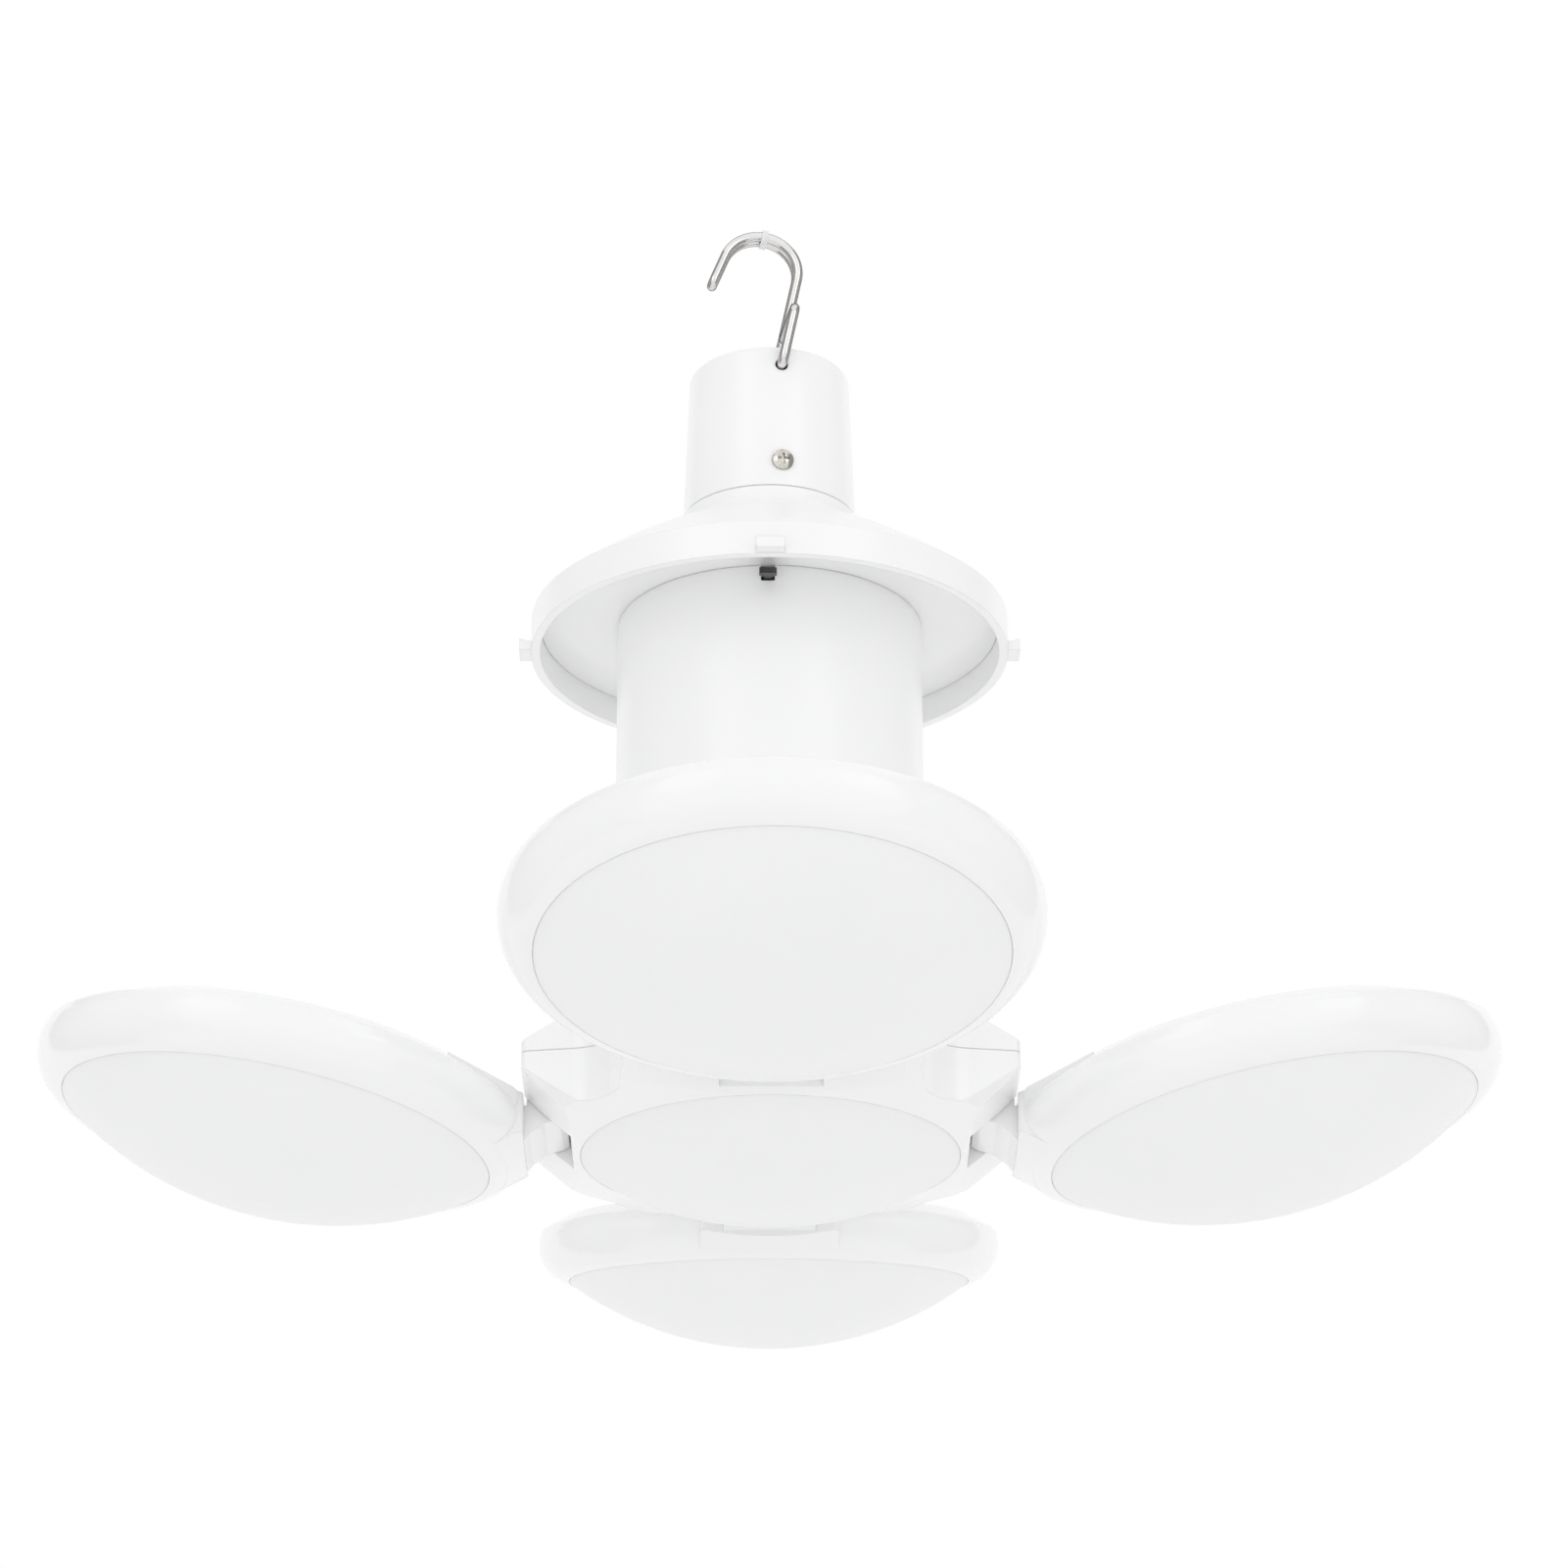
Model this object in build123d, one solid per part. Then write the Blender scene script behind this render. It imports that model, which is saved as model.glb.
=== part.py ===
from build123d import *
import math
import os

# Foldable light: four round leaves hinged on a hub under a battery tube, hung by a wire hook.
# Sizes are in millimetres and angles in degrees. Up is +Z and the front is -Y.

# Running gaps, seats and wall thicknesses shared by neighbouring pieces
seat_gap = 0.05
side_gap = 0.3
pin_gap = 0.05

# Hook wire, bent double
wire_d = 1.8
strand_pitch = 2.0
hook_shank = 26.0
hook_bend_r = 7.1
hook_bend_sweep = 170.0
hook_tip = 5.5
hook_lean = 11.5
hook_turn = 8.7
shoulder_rise = 12.0
shoulder_bend_r = 2.2
leg_out = 16.6
leg_bend_r = 1.6
leg_end_in = 1.6
band_width = 1.2
band_thick = 0.35

# Cap over the screw base
cap_bottom_r = 15.75
cap_top_r = 14.65
cap_height = 28.95
cap_wall = 1.5
cap_roof = 2.0
cap_edge_r = 1.3
cap_hole_drop = 4.05
cap_hole_r = 1.17
cap_screw_rise = 5.0
cap_screw_r = 1.0
cap_screw_head_r = 1.95
cap_screw_head_h = 1.1
cap_screw_length = 5.2

# Cross recess and upright side of a pan head, shared by every screw
cross_width = 0.5
cross_depth = 0.7
cross_share = 1.1
pan_side_share = 0.4

# Screw base inside the cap
spigot_height = 7.0
neck_height = 7.0
neck_bore_r = 10.8
base_shell_r = 13.1
base_shell_wall = 0.35
base_shell_height = 15.0
base_thread_depth = 0.7
base_thread_pitch = 3.6
insulator_height = 3.0
contact_r = 4.5
contact_height = 1.3

# Canopy, its ceiling plate and lugs
skirt_r = 43.1
skirt_height = 6.3
skirt_wall = 1.6
cone_top_r = 16.2
cone_top_z = 23.6
cone_swell = 0.9
cone_wall = 1.6
collar_r = 16.0
collar_top_z = 26.8
collar_edge = 0.3
collar_root_r = 2.5
ceiling_z = 5.25
plate_thick = 1.6
plate_ledge = 2.6
plate_hole_r = 12.0
lug_reach = 2.1
lug_width = 5.0
lug_low = 0.2
lug_height = 1.8
nib_height = 0.3
nib_thick = 0.8

# Battery tube
tube_r = 27.5
tube_wall = 1.8
tube_edge = 0.25
boss_r = 3.2
boss_height = 5.6
boss_count = 3
tube_screw_r = 1.25
tube_screw_head_r = 2.4
tube_screw_head_h = 1.5
tube_screw_length = 6.0

# Cells and their trays
cell_r = 9.1
cell_length = 65.0
cell_edge = 0.6
cell_gap = 0.3
tray_thick = 3.0
tray_pocket = 1.0
contact_plate_r = 4.0
contact_plate_thick = 0.8

# Switch in the front of the tube
switch_x = -0.4
window_width = 2.4
window_height = 3.05
lever_pivot_in = 4.0
lever_pivot_drop = 1.5
lever_rest = 11.0
lever_reach = 8.6
lever_root = 1.3
lever_tip = 3.1
lever_tip_length = 3.0
lever_flare = 1.2
lever_corner_r = 0.6
lever_thick = 1.1
lever_ball_r = 0.9
switch_body_width = 7.0
switch_body_depth = 5.0
switch_body_height = 4.6
switch_slot_below = 1.2

# Driver board on the ceiling plate
driver_r = 20.0
board_thick = 1.6
driver_rise = 2.0
post_r = 2.2
driver_post_ring = 16.5
driver_post_first = 30
small_screw_r = 0.9
small_head_r = 1.8
small_head_h = 1.2
small_screw_length = 4.2

# Hub, cover above the seam and base below it
hub_reach = 42.4
lobe_half = 24.0
lobe_flare = 0.1625
lobe_corner_r = 1.2
lobe_waist_r = 9.9
seam_z = -84.5
cover_edge_h = 1.8
cover_slope = 0.57
cover_corner_slope = 0.75
cover_wall = 2.2
base_edge_h = 2.8
base_depth = 11.0
base_seam_edge = 0.2
base_flat_half = 33.2
base_bulge = 0.3
base_corner_r = 41.4
base_corner_rise = 1.5
base_corner_slope = 0.93
hub_cavity_r = 30.3
hub_ledge_w = 1.8
hub_ledge_up = 4.5
hub_lens_r = 32.9
hub_lens_rise = 9.64
hub_screw_ring = 22.0
hub_boss_r = 3.0
hub_screw_r = 1.25
hub_screw_head_r = 2.4
hub_screw_head_h = 1.6
hub_screw_length = 9.0
spigot_ring_wall = 2.0

# Leaf hinges
hinge_in = 3.9
slot_half = 8.7
slot_depth = 8.0
pin_r = 1.5
pin_half = 13.5
knuckle_r = 3.5

# Leaves
leaf_tilt = 10.8
leaf_drop = 9.49
leaf_beyond = 1.2
leaf_set_out = 1.7
leaf_back = 5.5
leaf_under = 6.1
bevel_in = 4.6
bevel_low = 3.1
bevel_out = 0.4
bevel_edge_r = 1.0
rim_widest = 1.5
roll_in = 1.4
roll_low = 3.45
rim_width = 5.8
leaf_lens_rise = 12.3
leaf_wall = 1.9
lens_wall = 1.5
lens_edge = 1.2
leaf_ledge_w = 1.6
leaf_ledge_h = 0.8
hollow_low_in = 4.0
hollow_mid_z = 0.5
hollow_top_in = 2.2
hollow_top_z = 2.2
hollow_back_in = 5.0
leaf_board_in = 4.8
leaf_screw_ring = 22.0
leaf_boss_r = 2.6
leaf_boss_h = 2.6
shoulder_half = 13.0
shoulder_in = 2.2
shoulder_tangent_in = 4.0
shoulder_depth = 3.3
shoulder_edge_r = 1.2
root_overlap = 0.5
root_reach = 4.0
root_under_z = 4.7
root_under_at = 2.6
root_slope = 0.84
toe_out = 4.4
toe_low = 5.4
toe_chamfer = 0.9
arm_low = 7.5
heel_out = 1.7
heel_low = 9.8
heel_step = 1.2
arm_top_out = 2.7
arm_top_low = 5.0

# Levels worked out from the sizes above, with zero at the inside of the hook's bend
lean = math.radians(hook_lean)
bend_x = hook_shank * math.sin(lean) - hook_bend_r * math.cos(lean)
bend_rise = hook_shank * math.cos(lean) + hook_bend_r * math.sin(lean)
hang_rise = bend_rise + math.sqrt((hook_bend_r - wire_d / 2) ** 2 - bend_x**2)
pivot_z = -hang_rise
cap_top_z = pivot_z + cap_hole_drop
cap_low_z = cap_top_z - cap_height
rim_z = cap_low_z - collar_top_z - side_gap / 3
cap_taper = (cap_bottom_r - cap_top_r) / cap_height
spigot_r = cap_bottom_r - cap_wall - cap_taper * (spigot_height + cap_roof) - side_gap / 3
neck_r = base_shell_r - base_thread_depth - base_shell_wall - seat_gap
ceiling = rim_z + ceiling_z
hub_z = rim_z + seam_z
base_low = hub_z - base_depth
board_ledge = base_low + hub_ledge_up
cover_top = hub_z + cover_edge_h + cover_slope * (hub_reach - tube_r - seat_gap)
tube_low = cover_top
tube_in_r = tube_r - tube_wall
hinge_r = hub_reach - hinge_in
slot_wall_r = hub_reach - slot_depth
leaf_r = hub_reach + leaf_beyond
leaf_reach = leaf_r + leaf_set_out
leaf_lens_r = leaf_r - rim_width
leaf_board_r = leaf_lens_r - leaf_board_in
shoulder_reach = leaf_r - shoulder_in
shoulder_tangent_r = leaf_r - shoulder_tangent_in
tray_top_low = ceiling - boss_height - tray_thick
cell_top = tray_top_low + tray_pocket - contact_plate_thick
cell_low = cell_top - cell_length
tray_low_top = cell_low - contact_plate_thick + tray_pocket
turned_hook = Rot(0, 0, hook_turn)
leaf_angles = {"right": 0, "back": 90, "left": 180, "front": 270}

os.makedirs("parts", exist_ok=True)


def save(solid, name):
    export_step(solid, f"parts/{name}.step")


def turned(edges):
    """A solid turned about Z from edges given as (radius, height)."""
    return revolve(Plane.XZ * make_face(edges), Axis.Z)


def turned_points(points):
    return turned(Polyline(*points, close=True).edges())


def post(radius, low, high, x=0.0, y=0.0):
    return Pos(x, y, low) * Cylinder(radius, high - low, align=(Align.CENTER, Align.CENTER, Align.MIN))


def ring_places(radius, count, first=0.0):
    """Points spaced evenly round the axis, as (x, y)."""
    angles = [math.radians(first + 360 * step / count) for step in range(count)]
    return [(radius * math.cos(angle), radius * math.sin(angle)) for angle in angles]


def crown(radius, low, top):
    """Arc from a rim up to the top of a dome that is centred on the axis."""
    ball = (radius**2 + (top - low) ** 2) / (2 * (top - low))
    middle = radius / 2
    return ThreePointArc((radius, low), (middle, top - ball + math.sqrt(ball**2 - middle**2)), (0, top))


def screw(shank_r, head_r, head_h, length):
    """A pan head screw, head up, with the head's underside at zero."""
    side_h = head_h * pan_side_share
    sides = Polyline((0, head_h), (0, 0), (head_r, 0), (head_r, side_h))
    head = turned([*sides.edges(), crown(head_r, side_h, head_h)])
    for turn in (0, 90):
        slot = Box(head_r * cross_share, cross_width, 2 * cross_depth)
        head -= Rot(0, 0, turn) * Pos(0, 0, head_h) * slot
    return head + post(shank_r, -length, 0)


def in_hook(x, across, rise):
    """A point given in the hook's own upright frame, leaned and turned to its place."""
    point = Vector(x, across, rise).rotate(Axis.Y, hook_lean).rotate(Axis.Z, hook_turn)
    return Vector(point.X, point.Y, point.Z + pivot_z)


def hook_wire():
    """One wire: in through a cap hole, up a leg, round the bend, back beside itself and down."""
    half = strand_pitch / 2
    inner = cap_top_r - cap_wall - leg_end_in
    sweep_end = math.radians(hook_bend_sweep)
    end_x = hook_bend_r * (math.cos(sweep_end) - 1)
    end_z = hook_shank + hook_bend_r * math.sin(sweep_end)
    tip_x = end_x - hook_tip * math.sin(sweep_end)
    tip_z = end_z + hook_tip * math.cos(sweep_end)
    mid = math.radians(hook_bend_sweep / 2)
    mid_x = hook_bend_r * (math.cos(mid) - 1)
    mid_z = hook_shank + hook_bend_r * math.sin(mid)
    turn = math.sqrt(0.5)
    strands = []
    for side in (-1, 1):
        leg_turn = side * (leg_out - leg_bend_r)
        rise_turn = shoulder_rise - shoulder_bend_r
        shank_turn = side * (half + shoulder_bend_r)
        strands.append(
            [
                Line(in_hook(0, side * inner, 0), in_hook(0, leg_turn, 0)),
                ThreePointArc(
                    in_hook(0, leg_turn, 0),
                    in_hook(0, leg_turn + side * leg_bend_r * turn, leg_bend_r * (1 - turn)),
                    in_hook(0, side * leg_out, leg_bend_r),
                ),
                Line(in_hook(0, side * leg_out, leg_bend_r), in_hook(0, side * leg_out, rise_turn)),
                ThreePointArc(
                    in_hook(0, side * leg_out, rise_turn),
                    in_hook(
                        0,
                        side * (leg_out - shoulder_bend_r * (1 - turn)),
                        rise_turn + shoulder_bend_r * turn,
                    ),
                    in_hook(0, side * (leg_out - shoulder_bend_r), shoulder_rise),
                ),
                Line(
                    in_hook(0, side * (leg_out - shoulder_bend_r), shoulder_rise),
                    in_hook(0, shank_turn, shoulder_rise),
                ),
                ThreePointArc(
                    in_hook(0, shank_turn, shoulder_rise),
                    in_hook(
                        0,
                        shank_turn - side * shoulder_bend_r * turn,
                        shoulder_rise + shoulder_bend_r * (1 - turn),
                    ),
                    in_hook(0, side * half, shoulder_rise + shoulder_bend_r),
                ),
                Line(
                    in_hook(0, side * half, shoulder_rise + shoulder_bend_r),
                    in_hook(0, side * half, hook_shank),
                ),
                ThreePointArc(
                    in_hook(0, side * half, hook_shank),
                    in_hook(mid_x, side * half, mid_z),
                    in_hook(end_x, side * half, end_z),
                ),
                Line(in_hook(end_x, side * half, end_z), in_hook(tip_x, side * half, tip_z)),
            ]
        )
    reach = half * math.sin(sweep_end)
    drop = half * math.cos(sweep_end)
    tip = ThreePointArc(
        in_hook(tip_x, -half, tip_z),
        in_hook(tip_x - reach, 0, tip_z + drop),
        in_hook(tip_x, half, tip_z),
    )
    path = Wire([*strands[0], tip, *strands[1]])
    start = in_hook(0, -inner, 0)
    section = Plane(origin=start, z_dir=in_hook(0, 0, 0) - start) * Circle(wire_d / 2)
    return sweep(section, path)


def hook_band():
    """Sleeve round both strands at the top of the bend."""
    angle = math.radians(95)
    place = in_hook(
        hook_bend_r * (math.cos(angle) - 1), 0, hook_shank + hook_bend_r * math.sin(angle)
    )
    beside = in_hook(0, 1, 0) - in_hook(0, 0, 0)
    along = in_hook(-math.sin(angle), 0, math.cos(angle)) - in_hook(0, 0, 0)
    gap = seat_gap + band_width**2 / (8 * hook_bend_r)
    hole = SlotOverall(strand_pitch + wire_d + 2 * gap, wire_d + 2 * gap)
    outer = offset(hole, band_thick)
    frame = Plane(origin=place, x_dir=beside, z_dir=along)
    return extrude(frame * (outer - hole), band_width / 2, both=True)


def cap_screw_place(radius):
    """Screw axis at the front of the cap, pointing outward."""
    return turned_hook * Pos(0, -radius, cap_low_z + cap_screw_rise) * Rot(90, 0, 0)


def cap_outer_r(rise):
    return cap_bottom_r - cap_taper * rise


def hook_cap():
    inner_top = cap_top_z - cap_roof
    cap = turned_points(
        [
            (0, cap_top_z),
            (cap_top_r, cap_top_z),
            (cap_bottom_r, cap_low_z),
            (cap_bottom_r - cap_wall, cap_low_z),
            (cap_top_r - cap_wall, inner_top),
            (0, inner_top),
        ]
    )
    cap = fillet(cap.edges().filter_by(GeomType.CIRCLE).group_by(Axis.Z)[-1], cap_edge_r)
    cap -= turned_hook * Pos(0, 0, pivot_z) * Rot(90, 0, 0) * Cylinder(cap_hole_r, 3 * cap_top_r)
    cap -= cap_screw_place(cap_bottom_r) * Cylinder(cap_screw_r + seat_gap, 4 * cap_wall)
    return cap


def hook_cap_screw():
    body = screw(cap_screw_r, cap_screw_head_r, cap_screw_head_h, cap_screw_length)
    return cap_screw_place(cap_outer_r(cap_screw_rise - cap_screw_head_r)) * body


def is_ring(edge, radius):
    return abs(edge.radius - radius) < seat_gap


def cone_under(radius):
    """Height above the rim of the inside of the canopy's cone."""
    slope = cone_slope()
    return cone_top_z + (cone_top_r - radius) * slope - cone_wall * math.sqrt(1 + slope**2)


def cone_slope():
    return (cone_top_z - skirt_height) / (skirt_r - cone_top_r)


def canopy():
    inner = skirt_r - skirt_wall
    ledge = inner - plate_ledge
    bore = spigot_r - cap_wall - side_gap
    step = collar_top_z + spigot_height
    outline = Polyline(
        (cone_top_r, cone_top_z),
        (collar_r, collar_top_z - collar_edge),
        (collar_r - collar_edge, collar_top_z),
        (spigot_r, collar_top_z),
        (spigot_r, step),
        (neck_r, step),
        (neck_r, step + neck_height),
        (neck_bore_r, step + neck_height),
        (neck_bore_r, step - cone_wall),
        (bore, step - cone_wall),
        (bore, cone_under(bore)),
        (ledge, cone_under(ledge)),
        (ledge, ceiling_z + plate_thick),
        (inner, ceiling_z + plate_thick),
        (inner, 0),
        (skirt_r, 0),
        (skirt_r, skirt_height),
    )
    cone_mid_r = (skirt_r + cone_top_r) / 2
    cone_mid_z = (skirt_height + cone_top_z) / 2 + cone_swell
    cone = ThreePointArc((skirt_r, skirt_height), (cone_mid_r, cone_mid_z), (cone_top_r, cone_top_z))
    shell = turned([*outline.edges(), cone])
    root = [edge for edge in shell.edges().filter_by(GeomType.CIRCLE) if is_ring(edge, cone_top_r)]
    shell = fillet(root, collar_root_r)
    lug_length = lug_reach + skirt_wall / 2
    for angle in leaf_angles.values():
        lug = Pos(skirt_r - skirt_wall / 2, 0, lug_low) * Box(
            lug_length, lug_width, lug_height, align=(Align.MIN, Align.CENTER, Align.MIN)
        )
        nib = Pos(skirt_r + lug_reach - nib_thick, 0, lug_low) * Box(
            nib_thick, lug_width, lug_height + nib_height, align=(Align.MIN, Align.CENTER, Align.MIN)
        )
        shell += Rot(0, 0, angle) * (lug + nib)
    shell = Pos(0, 0, rim_z) * shell
    shell -= cap_screw_place(spigot_r) * Cylinder(cap_screw_r, 2 * cap_screw_length)
    return shell


def base_shell():
    """Thin screw sleeve rolled with rings, standing on the canopy's step."""
    low = rim_z + collar_top_z + spigot_height
    inner = base_shell_r - base_thread_depth - base_shell_wall
    outside = [(inner + base_shell_wall, low)]
    rings = int(base_shell_height / base_thread_pitch)
    for ring in range(rings):
        start = low + (ring + 0.25) * base_thread_pitch
        outside.append((inner + base_shell_wall, start))
        outside.append((base_shell_r, start + base_thread_pitch / 2))
    outside.append((inner + base_shell_wall, low + base_shell_height))
    return turned_points([*outside, (inner, low + base_shell_height), (inner, low)])


def base_insulator():
    low = rim_z + collar_top_z + spigot_height + base_shell_height
    return turned_points(
        [
            (0, low),
            (base_shell_r - base_thread_depth, low),
            (contact_r + 1, low + insulator_height),
            (0, low + insulator_height),
        ]
    )


def base_contact():
    low = rim_z + collar_top_z + spigot_height + base_shell_height + insulator_height
    top = low + contact_height
    return turned([*Polyline((0, top), (0, low), (contact_r, low)).edges(), crown(contact_r, low, top)])


def boss_places():
    return ring_places(tube_in_r - boss_r + side_gap, boss_count, 90)


def driver_places():
    return ring_places(driver_post_ring, 3, driver_post_first)


def canopy_plate():
    plate = post(skirt_r - skirt_wall - seat_gap, ceiling, ceiling + plate_thick)
    plate -= post(plate_hole_r, ceiling, ceiling + plate_thick)
    for x, y in driver_places():
        plate += post(post_r, ceiling + plate_thick / 2, ceiling + plate_thick + driver_rise, x, y)
        plate -= post(small_screw_r, ceiling + plate_thick, ceiling + plate_thick + driver_rise, x, y)
    for x, y in boss_places():
        plate -= post(tube_screw_r + seat_gap, ceiling, ceiling + plate_thick, x, y)
    return plate


def driver_board():
    low = ceiling + plate_thick + driver_rise
    board = post(driver_r, low, low + board_thick)
    for x, y in boss_places():
        board -= post(tube_screw_head_r + side_gap, low, low + board_thick, x, y)
    for x, y in driver_places():
        board -= post(small_screw_r + seat_gap, low, low + board_thick, x, y)
    return board


def board_screws():
    top = ceiling + plate_thick + driver_rise + board_thick
    length = min(small_screw_length, board_thick + driver_rise)
    body = screw(small_screw_r, small_head_r, small_head_h, length)
    return Compound(children=[Pos(x, y, top) * body for x, y in driver_places()])


def tube_screws():
    body = screw(tube_screw_r, tube_screw_head_r, tube_screw_head_h, tube_screw_length)
    return Compound(children=[Pos(x, y, ceiling + plate_thick) * body for x, y in boss_places()])


def battery_tube():
    tube = post(tube_r, tube_low, ceiling)
    tube = chamfer(tube.edges().filter_by(GeomType.CIRCLE).group_by(Axis.Z)[-1], tube_edge)
    tube -= post(tube_in_r, tube_low, ceiling)
    for x, y in boss_places():
        boss = post(boss_r, ceiling - boss_height, ceiling, x, y)
        tube += boss & post(tube_r - tube_wall / 2, tube_low, ceiling)
        tube -= post(tube_screw_r, ceiling - boss_height, ceiling, x, y)
    window = Box(window_width, 4 * tube_wall, 2 * window_height)
    return tube - Pos(switch_x, -tube_r, ceiling) * window


def cell_places():
    return ring_places((cell_r + cell_gap / 2) * math.sqrt(2), 4, 45)


def cell_tray(low, pocket_low):
    """Round tray with four shallow pockets, open below or above."""
    tray = post(tube_in_r - side_gap, low, low + tray_thick)
    for x, y in cell_places():
        tray -= post(cell_r + cell_gap / 3, pocket_low, pocket_low + tray_pocket, x, y)
    return tray


def cell_contacts():
    plates = []
    for x, y in cell_places():
        plates.append(post(contact_plate_r, cell_top, cell_top + contact_plate_thick, x, y))
        plates.append(post(contact_plate_r, cell_low - contact_plate_thick, cell_low, x, y))
    return Compound(children=plates)


def battery_cell(x, y):
    cell = post(cell_r, cell_low, cell_top, x, y)
    return chamfer(cell.edges().filter_by(GeomType.CIRCLE), cell_edge)


lever_place = Pos(switch_x, -tube_r + lever_pivot_in, ceiling - lever_pivot_drop)


def switch_lever():
    """Flat lever that widens to its tip, with a round hub inside the switch."""
    root = lever_root / 2
    tip = lever_tip / 2
    widen = lever_reach - lever_tip_length
    blade = extrude(
        make_face(
            Polyline(
                (-root, 0),
                (-root, -widen),
                (-tip, -widen - lever_flare),
                (-tip, -lever_reach),
                (tip, -lever_reach),
                (tip, -widen - lever_flare),
                (root, -widen),
                (root, 0),
                close=True,
            )
        ),
        lever_thick / 2,
        both=True,
    )
    blade = fillet(blade.edges().filter_by(Axis.Z).group_by(Axis.Y)[0], lever_corner_r)
    lever = blade + Rot(0, 90, 0) * Cylinder(lever_ball_r, lever_root)
    return lever_place * Rot(lever_rest, 0, 0) * lever


def switch_body():
    """Switch housing clipped behind the window, slotted for the lever."""
    half = switch_body_width / 2
    outer = math.sqrt(tube_in_r**2 - (half + abs(switch_x)) ** 2) - side_gap
    body = Pos(switch_x, -outer, ceiling) * Box(
        switch_body_width,
        switch_body_depth,
        switch_body_height,
        align=(Align.CENTER, Align.MIN, Align.MAX),
    )
    slot = Pos(switch_x, -outer, ceiling) * Box(
        lever_root + 2 * side_gap,
        2 * (lever_pivot_in + lever_ball_r + side_gap),
        2 * (lever_pivot_drop + lever_ball_r + switch_slot_below),
    )
    return body - slot


def lobed_outline():
    """Four lobes with hollow waists between them."""
    waist = (lobe_half + lobe_flare * hub_reach) / (1 + lobe_flare)
    corners = []
    for angle in leaf_angles.values():
        for x, y in ((hub_reach, -lobe_half), (hub_reach, lobe_half), (waist, waist)):
            corners.append(Vector(x, y, 0).rotate(Axis.Z, angle))
    face = make_face(Polyline(*corners, close=True))
    near = [vertex for vertex in face.vertices() if math.hypot(vertex.X, vertex.Y) < hub_reach - 1]
    face = fillet(near, lobe_waist_r)
    far = [vertex for vertex in face.vertices() if math.hypot(vertex.X, vertex.Y) > hub_reach + 1]
    return fillet(far, lobe_corner_r)


def crossed(profile):
    """The solid shared by a profile drawn along X and the same profile drawn along Y."""
    bar = extrude(Plane.XZ * profile, 2 * hub_reach, both=True)
    return bar & (Rot(0, 0, 90) * bar)


def hinge_cuts():
    """Slots for the leaf arms and seats for their pins, at all four lobes."""
    slot = Pos(slot_wall_r, 0, hub_z) * Box(
        hub_reach, 2 * slot_half, 8 * base_depth, align=(Align.MIN, Align.CENTER, Align.CENTER)
    )
    seat = Pos(hinge_r, 0, hub_z) * Rot(90, 0, 0) * Cylinder(pin_r + seat_gap / 2, 2 * pin_half + side_gap)
    return [Rot(0, 0, angle) * cut for angle in leaf_angles.values() for cut in (slot, seat)]


def hub_screw_places():
    return ring_places(hub_screw_ring, 4, 45)


def hub_cover():
    """Upper half of the hub: sloping lobes, tube seat and screw posts."""
    edge = hub_z + cover_edge_h
    flat = tube_r + seat_gap
    profile = make_face(
        Polyline(
            (-hub_reach, hub_z),
            (hub_reach, hub_z),
            (hub_reach, edge),
            (flat, cover_top),
            (-flat, cover_top),
            (-hub_reach, edge),
            close=True,
        )
    )
    corner_r = math.hypot(hub_reach, lobe_half)
    dome = turned_points(
        [
            (0, hub_z),
            (corner_r, hub_z),
            (corner_r, edge),
            (corner_r - (cover_top - edge) / cover_corner_slope, cover_top),
            (0, cover_top),
        ]
    )
    cover = extrude(Pos(0, 0, hub_z) * lobed_outline(), cover_top - hub_z) & crossed(profile) & dome
    cover -= post(hub_cavity_r, hub_z, edge)
    cover -= post(tube_in_r - spigot_ring_wall, hub_z, cover_top - cover_wall)
    ring_top = tray_low_top - tray_thick
    ring = post(tube_in_r - seat_gap, cover_top - cover_wall / 2, ring_top)
    ring -= post(tube_in_r - spigot_ring_wall, cover_top - cover_wall, ring_top)
    cover += ring
    for x, y in hub_screw_places():
        cover += post(hub_boss_r, board_ledge + board_thick, cover_top - cover_wall / 2, x, y)
        cover -= post(hub_screw_r, board_ledge, cover_top - cover_wall, x, y)
    for cut in hinge_cuts():
        cover -= cut
    return cover


def hub_base():
    """Lower half of the hub: lobes that fall to the lens seat, with slots for the leaf arms."""
    edge = hub_z - base_edge_h
    mid = (base_flat_half + hub_reach) / 2
    mid_z = (base_low + edge) / 2 - base_bulge
    profile = make_face(
        [
            *Polyline(
                (-hub_reach, edge), (-hub_reach, hub_z), (hub_reach, hub_z), (hub_reach, edge)
            ).edges(),
            ThreePointArc((hub_reach, edge), (mid, mid_z), (base_flat_half, base_low)),
            Line((base_flat_half, base_low), (-base_flat_half, base_low)),
            ThreePointArc((-base_flat_half, base_low), (-mid, mid_z), (-hub_reach, edge)),
        ]
    )
    corner_r = math.hypot(hub_reach, lobe_half)
    rise = base_low + base_corner_rise
    outer_z = rise + base_corner_slope * (corner_r - base_corner_r)
    dome = turned_points(
        [
            (0, base_low),
            (base_flat_half, base_low),
            (base_corner_r, rise),
            (corner_r, outer_z),
            (corner_r, hub_z),
            (0, hub_z),
        ]
    )
    base = extrude(Pos(0, 0, base_low) * lobed_outline(), base_depth)
    base = chamfer(base.edges().group_by(Axis.Z)[-1], base_seam_edge)
    base = base & crossed(profile) & dome
    base -= post(hub_cavity_r, board_ledge, hub_z)
    base -= post(hub_cavity_r - hub_ledge_w, base_low, board_ledge)
    base -= post(hub_lens_r + seat_gap, base_low, base_low + lens_edge)
    for cut in hinge_cuts():
        base -= cut
    return base


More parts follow.
